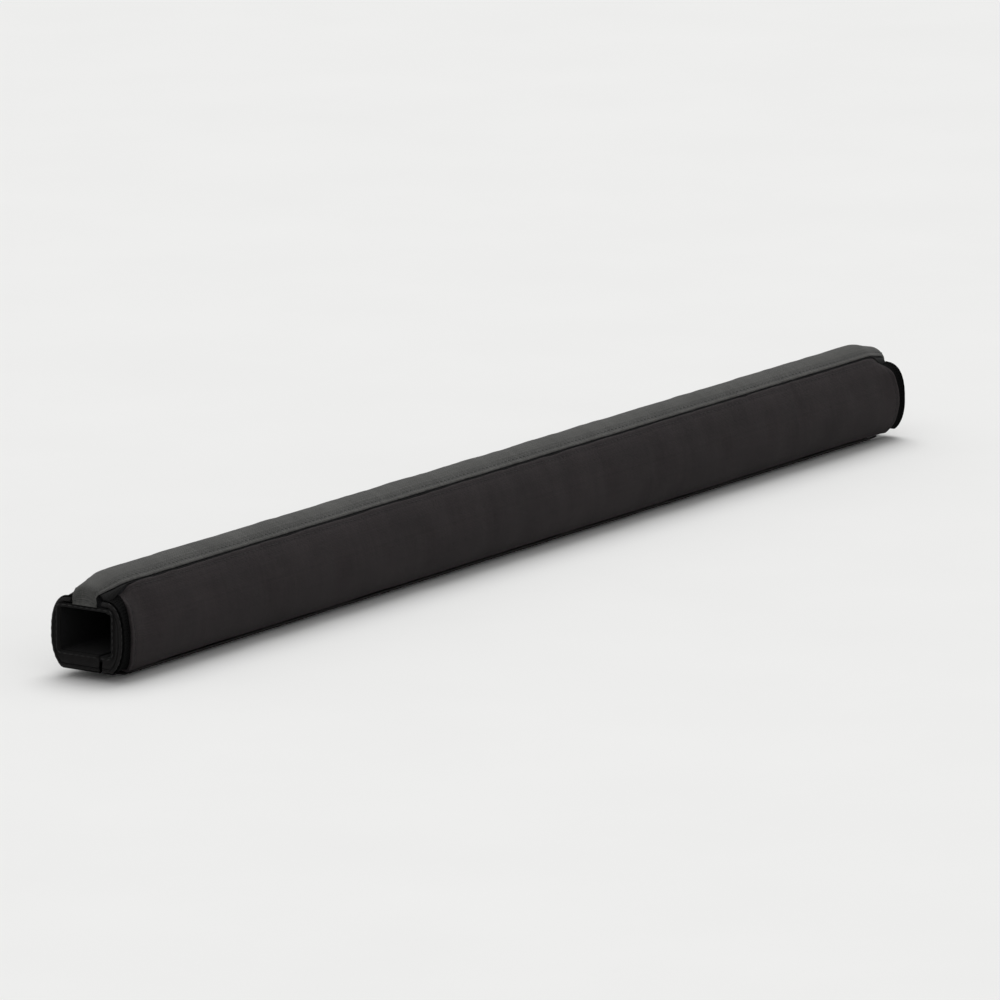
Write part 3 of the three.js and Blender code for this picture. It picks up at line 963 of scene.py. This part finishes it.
def gusset_grid(side, end):
    """Grid from under a side cover's hem to the end, round its turn and onto the end cloth's rim."""
    steps = side_steps(side, GUSSET_COLUMNS)
    edges = side_edges(side, steps) + GUSSET_LAP
    straight = PLATE_START + END_ROUND
    tuck = CORNER_TUCK * np.exp(-(np.linspace(0, 1, len(steps)) / TUCK_REACH) ** 2)

    def row(inward, depth):
        inward = np.broadcast_to(inward, (1, len(steps)))
        return side_grid(side, inward, end * (HALF_LENGTH - inward), steps, depth)[0]

    rows = []
    for share in np.linspace(0, 1, GUSSET_ROWS):
        dip = GUSSET_DISH * math.sin(math.pi * share) + GUSSET_START_DIP * (1 - share) ** 2
        depth = GUSSET_INSET + dip + tuck * (1 - share) ** 0.5
        rows.append(row(edges + (straight - edges) * share, depth))
    for angle in np.linspace(0, math.pi / 2, ROUND_ROWS)[1:]:
        depth = GUSSET_INSET + END_ROUND * (1 - math.cos(angle))
        rows.append(row(straight - END_ROUND * math.sin(angle), depth))
    rows.append(row(PLATE_START, GUSSET_INSET + END_ROUND + END_RIM))
    return swell(np.array(rows))


rim_grids = []
for end_name, end in ENDS.items():
    for side_name, side in SIDES.items():
        name = f"{end_name}_{side_name}"
        grid = gusset_grid(side, end)
        split = GUSSET_ROWS - RIM_SETBACK
        gusset = cloth_piece(f"{name}_mesh_gusset", grid[:split + 1], THIN_COVER)
        finished(gusset, gusset_mesh, [f"{name}_gusset"])
        rim = cloth_piece(f"{name}_end_rim", grid[split:], COVER)
        finished(rim, end_cloth)
        rim_grids.append(grid[split:])


# ---------------------------------------------------------------- ends of the channel
CORNER_STEPS = 9
PLATE_POINTS, PLATE_STEPS = 140, 60
PLATE_SHARES, PLATE_BULGE = 9, 0.5 * MM
PLATE_REACH = 0.2 * MM
BINDING_POINTS, BINDING_SHARES = 150, 8
BINDING_FROM, BINDING_TURN = 0.08, 0.84
BINDING_THICKNESS = 0.6 * MM


def rounded_loop(reach, count):
    """Open loop round the channel, from one edge of the slit to the other, as y and z."""
    half, low, high = CHANNEL_HALF + reach, CHANNEL_LOW - reach, CHANNEL_HIGH + reach
    corner = CHANNEL_CORNER + reach
    line = [(SLIT_HIGH_Y, low)]
    for centre_y, centre_z, start in (
        (half - corner, low + corner, -90),
        (half - corner, high - corner, 0),
        (corner - half, high - corner, 90),
        (corner - half, low + corner, 180),
    ):
        for turn in np.radians(np.linspace(start, start + 90, CORNER_STEPS)):
            line.append((centre_y + corner * math.cos(turn), centre_z + corner * math.sin(turn)))
    line.append((SLIT_LOW_Y, low))
    return resampled(np.array(line), count)


def plate_outline(count, distance):
    """Outer edge of the end cloth, from one edge of the slit to the other, flat under the lip."""
    section = section_at(PLATE_START)
    roof = LIP_Z - GAP
    halves = []
    for side in (1, -1):
        steps = side_steps(side, PLATE_STEPS)
        points = np.array([side_point(section, t, slit_reach(side)) for t in steps])
        half = (points[::-1] if side > 0 else points * [-1, 1])[None]
        half = np.stack(drawn_in(half[..., 0], half[..., 1], -distance), axis=-1)[0]
        halves.append(half[half[:, 1] < roof])
    return resampled(np.vstack(halves), count)


def ring_shape(end, inner, outer, rise):
    """Grid between two loops at an end of the sleeve, with a height for each step across it."""
    shares = np.linspace(0, 1, len(rise))
    rows = []
    for a, b in zip(inner, outer):
        line = [a + (b - a) * share for share in shares]
        rows.append([(end * (HALF_LENGTH - lift), y, z) for (y, z), lift in zip(line, rise)])
    return np.array(rows)


def facing_end(grid, end):
    """1 or -1, so that the outer face of a flat ring looks off the end of the sleeve."""
    return 1 if outward_of(grid)[..., 0].mean() * end > 0 else -1


def end_plate(end_name, end):
    """Flat cloth across one end, round the opening of the channel."""
    inner = rounded_loop(PLATE_REACH, PLATE_POINTS)
    outer = plate_outline(PLATE_POINTS, GUSSET_INSET + END_ROUND + END_RIM + GAP)
    lift = PLATE_START + PLATE_BULGE * np.sin(math.pi * np.linspace(0, 1, PLATE_SHARES)) ** 2
    grid = ring_shape(end, inner, outer, lift)
    facing, chart = facing_end(grid, end), (grid[..., 1], grid[..., 2])
    plate = cloth_piece(f"{end_name}_end_cloth", grid, THIN_COVER, facing, chart=chart)
    finished(plate, end_cloth, [f"{end_name}_end_panel"])


def end_binding(end_name, end):
    """Tape bound round one opening. Gives its grid."""
    turn = math.pi * (BINDING_FROM + BINDING_TURN * np.linspace(0, 1, BINDING_SHARES))
    lift = RING_END - (RING_END - RING_START) * np.sin(turn) ** 0.5
    loops = [rounded_loop(reach, BINDING_POINTS) for reach in (0.0, RING_REACH)]
    grid = ring_shape(end, *loops, lift)
    binding = cloth_piece(f"{end_name}_bar_binding", grid, BINDING_THICKNESS, facing_end(grid, end))
    finished(binding, binding_tape, [f"{end_name}_opening_binding"])
    return grid


binding_grids = []
for end_name, end in ENDS.items():
    end_plate(end_name, end)
    binding_grids.append(end_binding(end_name, end))


# ---------------------------------------------------------------- lining, foam and closure
LINING_POINTS, LINING_ROWS = 110, 160
FOAM_POINTS = 80
CUT_PAST_END = 5 * MM
CUT_PAST_FLOOR = MM


def lining_grid():
    loop = rounded_loop(0.0, LINING_POINTS)
    x = np.linspace(lining_low.x, lining_high.x, LINING_ROWS)
    return np.array([np.column_stack([np.full(len(loop), place), loop]) for place in x])


lining = cloth_piece("bar_lining", lining_grid(), LINING, facing=-1)
finished(lining, lining_cloth, ["channel_lining"])


def foam_cutter():
    """Closed solid of the channel and the slit, a little longer than the sleeve."""
    wall = [(SLIT_LOW_Y, -CUT_PAST_FLOOR), (SLIT_HIGH_Y, -CUT_PAST_FLOOR)]
    profile = np.vstack([rounded_loop(LINING + GAP, FOAM_POINTS), wall])
    count = len(profile)
    ends = [-HALF_LENGTH - CUT_PAST_END, HALF_LENGTH + CUT_PAST_END]
    points = np.vstack([np.column_stack([np.full(count, x), profile]) for x in ends])
    faces = [(j, (j + 1) % count, count + (j + 1) % count, count + j) for j in range(count)]
    faces += [tuple(range(count))[::-1], tuple(range(count, 2 * count))]
    cutter = plain_mesh("foam_cutter", points, faces)
    if signed_volume(cutter.data) < 0:
        cutter.data.flip_normals()
    return cutter


def foam_block():
    """The swelled padding itself, cut open along the channel and the slit."""
    padding_mesh.vertices.foreach_set("co", (padding_rest + padding_move).ravel())
    block = placed("foam_filling", padding_mesh)
    smooth = block.modifiers.new("smooth", "SUBSURF")
    smooth.levels = smooth.render_levels = 1
    cutter = foam_cutter()
    cut = block.modifiers.new("channel", "BOOLEAN")
    cut.operation, cut.solver, cut.object = "DIFFERENCE", "EXACT", cutter
    mesh = evaluated_copy(block)
    bpy.data.objects.remove(cutter)
    block.modifiers.clear()
    block.data = mesh
    shade_smooth(mesh, False)
    return block


finished(foam_block(), foam_cells, ["foam_core"])

FLAP_ROWS, FLAP_COLUMNS = 290, 36
BELLY_POINTS, FLAT_POINTS = 16, 8
FLAP_EDGE_SINK = 0.4 * MM
FLAP_THICKNESS = 1.0 * MM
FLAP_HEM_DIP = 0.2 * MM
FLAP_GATHER, FLAP_GATHER_SEED = 0.15 * MM, 91
FLAP_WAVE, FLAP_WAVE_LENGTH, FLAP_WAVE_SEED = 0.35 * MM, 45 * MM, 83
FLAP_WAVE_REACH = 6 * MM
FLAP_INSET = 0.3 * MM


def flap_grid():
    """Flap under the sleeve, dished to follow the belly."""
    rows = np.linspace(flap_low.x, flap_high.x, FLAP_ROWS)
    run = BODY["belly_run"]
    keel = WIDE_Y - run
    edge = math.asin(1 - (flap_high.z - FLAP_EDGE_SINK) / WIDE_Z)
    edge = max(edge, math.acos(min((flap_high.y - keel) / run, 1)))
    belly = np.array([
        (keel + run * math.cos(a), WIDE_Z * (1 - math.sin(a)))
        for a in np.linspace(edge, math.pi / 2, BELLY_POINTS)
    ])
    middle = np.column_stack([np.linspace(keel, 0, FLAT_POINTS)[1:], np.zeros(FLAT_POINTS - 1)])
    half = np.vstack([belly, middle])
    line = resampled(np.vstack([half, (half * [-1, 1])[::-1][1:]]), FLAP_COLUMNS)
    return np.array([np.column_stack([np.full(len(line), x), line]) for x in rows])


def dressed_flap():
    """The flap with its hems, gathers and slightly wavy edges, all drawn in under the sleeve."""
    grid = flap_grid()
    x, to_edge = grid[..., 0], to_long_edges(grid)
    wave = FLAP_WAVE * noise_line(x, FLAP_WAVE_LENGTH, FLAP_WAVE_SEED)
    gather = pucker(x, to_edge, FLAP_GATHER_SEED, FLAP_GATHER)
    at_edge = np.clip(1 - to_edge / FLAP_WAVE_REACH, 0, 1)
    bend = sewn_edge(to_edge, FLAP_HEM_DIP) - np.abs(gather) - np.abs(wave) * at_edge - FLAP_INSET
    return grid + outward_of(grid) * bend[..., None]


closing_grid = dressed_flap()
closing_flap = cloth_piece("underside_flap", closing_grid, FLAP_THICKNESS)
finished(closing_flap, flap_cloth, ["closing_flap"])


def strip_piece(name, node, material, facing, rows=200, columns=14):
    """Flat tape in the place of a node, its pile facing up, 1, or down, -1."""
    low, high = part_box(node)
    x, y = np.linspace(low.x, high.x, rows), np.linspace(low.y, high.y, columns)
    z = low.z if facing < 0 else high.z
    grid = np.stack(np.broadcast_arrays(x[:, None], y[None, :], z), axis=-1)
    sign = 1 if outward_of(grid)[..., 2].mean() * facing > 0 else -1
    piece = cloth_piece(name, grid, high.z - low.z, sign)
    return finished(piece, material, [node])


strip_piece("hook_fastener", "hook_strip", hook_tape, 1)
strip_piece("loop_fastener", "loop_strip", loop_tape, -1)


# ---------------------------------------------------------------- stitches
THREAD = 0.3 * MM
STITCH_SIZES = {"Pitch": 3.6 * MM, "Length": 2.9 * MM, "Thickness": 2 * THREAD}
STITCH_SINK = 0.05 * MM
STITCH_SWAY = 0.09
STITCH_SHORTEST, STITCH_LONGEST = 0.9, 1.06
RIM_STITCH = 0.7 * MM
BINDING_STITCH = 0.6 * MM
LIP_STITCH = 0.8 * HEM_SETBACK


def stitch_tree(material):
    """Geometry Nodes that lay one stitch at each step along every line of a mesh."""
    tree = bpy.data.node_groups.new("stitch_row", "GeometryNodeTree")
    for label, way, kind in (
        ("Geometry", "INPUT", "NodeSocketGeometry"),
        ("Pitch", "INPUT", "NodeSocketFloat"),
        ("Length", "INPUT", "NodeSocketFloat"),
        ("Thickness", "INPUT", "NodeSocketFloat"),
        ("Seed", "INPUT", "NodeSocketInt"),
        ("Geometry", "OUTPUT", "NodeSocketGeometry"),
    ):
        tree.interface.new_socket(label, in_out=way, socket_type=kind)

    def add(kind, settings=None, values=None):
        node = tree.nodes.new(kind)
        for key, value in (settings or {}).items():
            setattr(node, key, value)
        for key, value in (values or {}).items():
            if isinstance(value, bpy.types.NodeSocket):
                tree.links.new(value, node.inputs[key])
            else:
                node.inputs[key].default_value = value
        return node.outputs

    def wander(low, high):
        values = {2: low, 3: high, "Seed": given["Seed"]}
        return add("FunctionNodeRandomValue", {"data_type": "FLOAT"}, values)[1]

    given = add("NodeGroupInput")
    curve = add("GeometryNodeMeshToCurve", None, {0: given["Geometry"]})[0]
    pitch = {"Curve": curve, "Length": given["Pitch"]}
    even = add("GeometryNodeResampleCurve", {"mode": "LENGTH"}, pitch)[0]
    ball = add("GeometryNodeMeshUVSphere", None, {"Segments": 8, "Rings": 4, "Radius": 0.5})[0]
    vectors = {"data_type": "FLOAT_VECTOR"}
    outward = add("GeometryNodeInputNamedAttribute", vectors, {"Name": "outward"})[0]
    along = add("GeometryNodeInputTangent")[0]
    sway = wander(-STITCH_SWAY, STITCH_SWAY)
    grow = wander(STITCH_SHORTEST, STITCH_LONGEST)
    first = add("FunctionNodeAlignRotationToVector", {"axis": "Z"}, {"Vector": outward})[0]
    axes, rotation = {"axis": "X", "pivot_axis": "Z"}, {"Rotation": first, "Vector": along}
    second = add("FunctionNodeAlignRotationToVector", axes, rotation)[0]
    lean = add("FunctionNodeAxisAngleToRotation", None, {"Axis": (0, 0, 1), "Angle": sway})[0]
    local = {"rotation_space": "LOCAL"}
    turned = add("FunctionNodeRotateRotation", local, {0: second, 1: lean})[0]
    long = add("ShaderNodeMath", {"operation": "MULTIPLY"}, {0: given["Length"], 1: grow})[0]
    thick = given["Thickness"]
    size = add("ShaderNodeCombineXYZ", None, {0: long, 1: thick, 2: thick})[0]
    places = {"Points": even, "Instance": ball, "Rotation": turned, "Scale": size}
    laid = add("GeometryNodeInstanceOnPoints", None, places)[0]
    real = add("GeometryNodeRealizeInstances", None, {0: laid})[0]
    colored = add("GeometryNodeSetMaterial", None, {"Geometry": real, "Material": material})[0]
    add("NodeGroupOutput", None, {0: colored})
    return tree


def stitched(name, lines, material, seed):
    """One piece with all stitches along lines, each given as points and their outward directions."""
    points, outward, edges = [], [], []
    for line, directions in lines:
        start = len(points)
        points += [tuple(p) for p in line]
        outward += [tuple(d) for d in directions]
        edges += [(start + k, start + k + 1) for k in range(len(line) - 1)]
    mesh = bpy.data.meshes.new(name)
    mesh.from_pydata(points, edges, [])
    attribute = mesh.attributes.new("outward", "FLOAT_VECTOR", "POINT")
    attribute.data.foreach_set("vector", np.array(outward, np.float32).ravel())
    piece = placed(name, mesh)
    sewing = piece.modifiers.new("stitches", "NODES")
    sewing.node_group = stitch_tree(material)
    inputs = {**STITCH_SIZES, "Seed": seed}
    for socket in sewing.node_group.interface.items_tree:
        if socket.in_out == "INPUT" and socket.name in inputs:
            sewing[socket.identifier] = inputs[socket.name]
    made = evaluated_copy(piece)
    piece.modifiers.clear()
    piece.data = made
    shade_smooth(made)
    return finished(piece, material)


def sewn_line(grid, distance, from_start, cut, turned=False):
    """Line of stitches at a distance from one edge of a grid, cut short by some points at both ends.

    It follows the first or last column, or the first or last row where turned is set. Its outward
    directions come with it.
    """
    if turned:
        grid = np.swapaxes(grid, 0, 1)
    lengths = run_lengths(grid, 1)
    place = distance if from_start else lengths[-1] - distance
    column = np.interp(place, lengths, np.arange(len(lengths)))
    low = int(np.clip(math.floor(column), 0, grid.shape[1] - 2))
    share = column - low
    normal = outward_of(grid)
    line = grid[:, low] * (1 - share) + grid[:, low + 1] * share
    direction = unit(normal[:, low] * (1 - share) + normal[:, low + 1] * share)
    kept = slice(cut, len(line) - cut)
    return (line - direction * STITCH_SINK)[kept], direction[kept]


grey_rows = []
for from_start in (True, False):
    grey_rows.append(sewn_line(top_grid, HEM_SETBACK, from_start, 9))
    grey_rows.append(sewn_line(top_grid, LIP_STITCH, from_start, 4, turned=True))
stitched("grey_stitches", grey_rows, grey_thread, 3)

black_rows = []
for grid in side_grids.values():
    for turned in (False, True):
        for from_start in (True, False):
            black_rows.append(sewn_line(grid, HEM_SETBACK, from_start, 3, turned))
for grid in rim_grids:
    black_rows.append(sewn_line(grid, RIM_STITCH, True, 2, turned=True))
for grid in binding_grids:
    black_rows.append(sewn_line(grid, BINDING_STITCH, False, 2))
for from_start in (True, False):
    black_rows.append(sewn_line(closing_grid, HEM_SETBACK, from_start, 3))
    black_rows.append(sewn_line(closing_grid, HEM_SETBACK, from_start, 4, turned=True))
stitched("black_stitches", black_rows, black_thread, 5)


# ---------------------------------------------------------------- stage, light and camera
AZIMUTH, ELEVATION = math.radians(-56), math.radians(12)
CAMERA_DISTANCE = 5.7
VIEW_WIDTH = 0.54
CLIP_NEAR, CLIP_FAR = 0.1, 100
FLOOR_SIZE = 60.0
AMBIENT = 0.5
BACKDROP = (236, 237, 238)
FLOOR_DULL = (196, 196, 195), (202, 202, 201)
FLOOR_PALE = (238, 238, 237), (242, 242, 241)


def camera_ray_share(finish):
    """1 for what the camera, a gloss or clear glass sees, else 0."""
    rays = [
        finish.node("ShaderNodeLightPath", None, None, output=name)
        for name in ("Is Camera Ray", "Is Glossy Ray", "Is Transmission Ray")
    ]
    return finish.clamp(rays[0] + rays[1] + rays[2])


def make_floor():
    half = FLOOR_SIZE / 2
    corners = [(-half, -half, 0), (half, -half, 0), (half, half, 0), (-half, half, 0)]
    floor = plain_mesh("floor", corners, [(0, 1, 2, 3)])
    finish = Finish("studio_floor")
    grain = finish.mottle(scale=8.0)
    dull = finish.blend(grain, *map(linear, FLOOR_DULL))
    pale = finish.blend(grain, *map(linear, FLOOR_PALE))
    color = finish.blend(camera_ray_share(finish), dull, pale)
    matt = finish.surface(color, 0.9 + grain * 0.05, grain, depth=0.01 * MM, specular=0.0)
    floor.data.materials.append(matt)


def make_world():
    world = bpy.data.worlds.new("studio")
    scene.world = world
    world.use_nodes = True
    tree = world.node_tree
    tree.nodes.clear()
    path = tree.nodes.new("ShaderNodeLightPath")
    ambient = tree.nodes.new("ShaderNodeBackground")
    ambient.inputs["Color"].default_value = (1, 1, 1, 1)
    ambient.inputs["Strength"].default_value = AMBIENT
    shown = tree.nodes.new("ShaderNodeBackground")
    shown.inputs["Color"].default_value = linear(BACKDROP)
    pick = tree.nodes.new("ShaderNodeMixShader")
    out = tree.nodes.new("ShaderNodeOutputWorld")
    tree.links.new(path.outputs["Is Camera Ray"], pick.inputs[0])
    tree.links.new(ambient.outputs[0], pick.inputs[1])
    tree.links.new(shown.outputs[0], pick.inputs[2])
    tree.links.new(pick.outputs[0], out.inputs["Surface"])


def make_lamp(name, place, spread, strength):
    """Soft even light from the direction of a place."""
    lamp = bpy.data.lights.new(name, "SUN")
    lamp.angle, lamp.energy = math.radians(spread), strength
    holder = bpy.data.objects.new(name, lamp)
    holder.location = place
    holder.rotation_euler = (-Vector(place)).to_track_quat("-Z", "Y").to_euler()
    scene.collection.objects.link(holder)


def make_camera():
    middle = (cad_bounds[0] + cad_bounds[1]) / 2
    back = Vector((
        math.sin(AZIMUTH) * math.cos(ELEVATION),
        -math.cos(AZIMUTH) * math.cos(ELEVATION),
        math.sin(ELEVATION),
    ))
    data = bpy.data.cameras.new("camera")
    data.lens = data.sensor_width * CAMERA_DISTANCE / VIEW_WIDTH
    data.clip_start, data.clip_end = CLIP_NEAR, CLIP_FAR
    camera = bpy.data.objects.new("camera", data)
    camera.location = middle + back * CAMERA_DISTANCE
    camera.rotation_mode = "QUATERNION"
    camera.rotation_quaternion = (-back).to_track_quat("-Z", "Y")
    scene.collection.objects.link(camera)
    scene.camera = camera


make_floor()
make_world()
make_lamp("overhead", (0.8, 0.5, 2.0), spread=50, strength=1.6)
make_lamp("side_fill", (-1.6, -1.6, 1.4), spread=40, strength=0.1)
make_camera()
scene.view_settings.view_transform = "Standard"
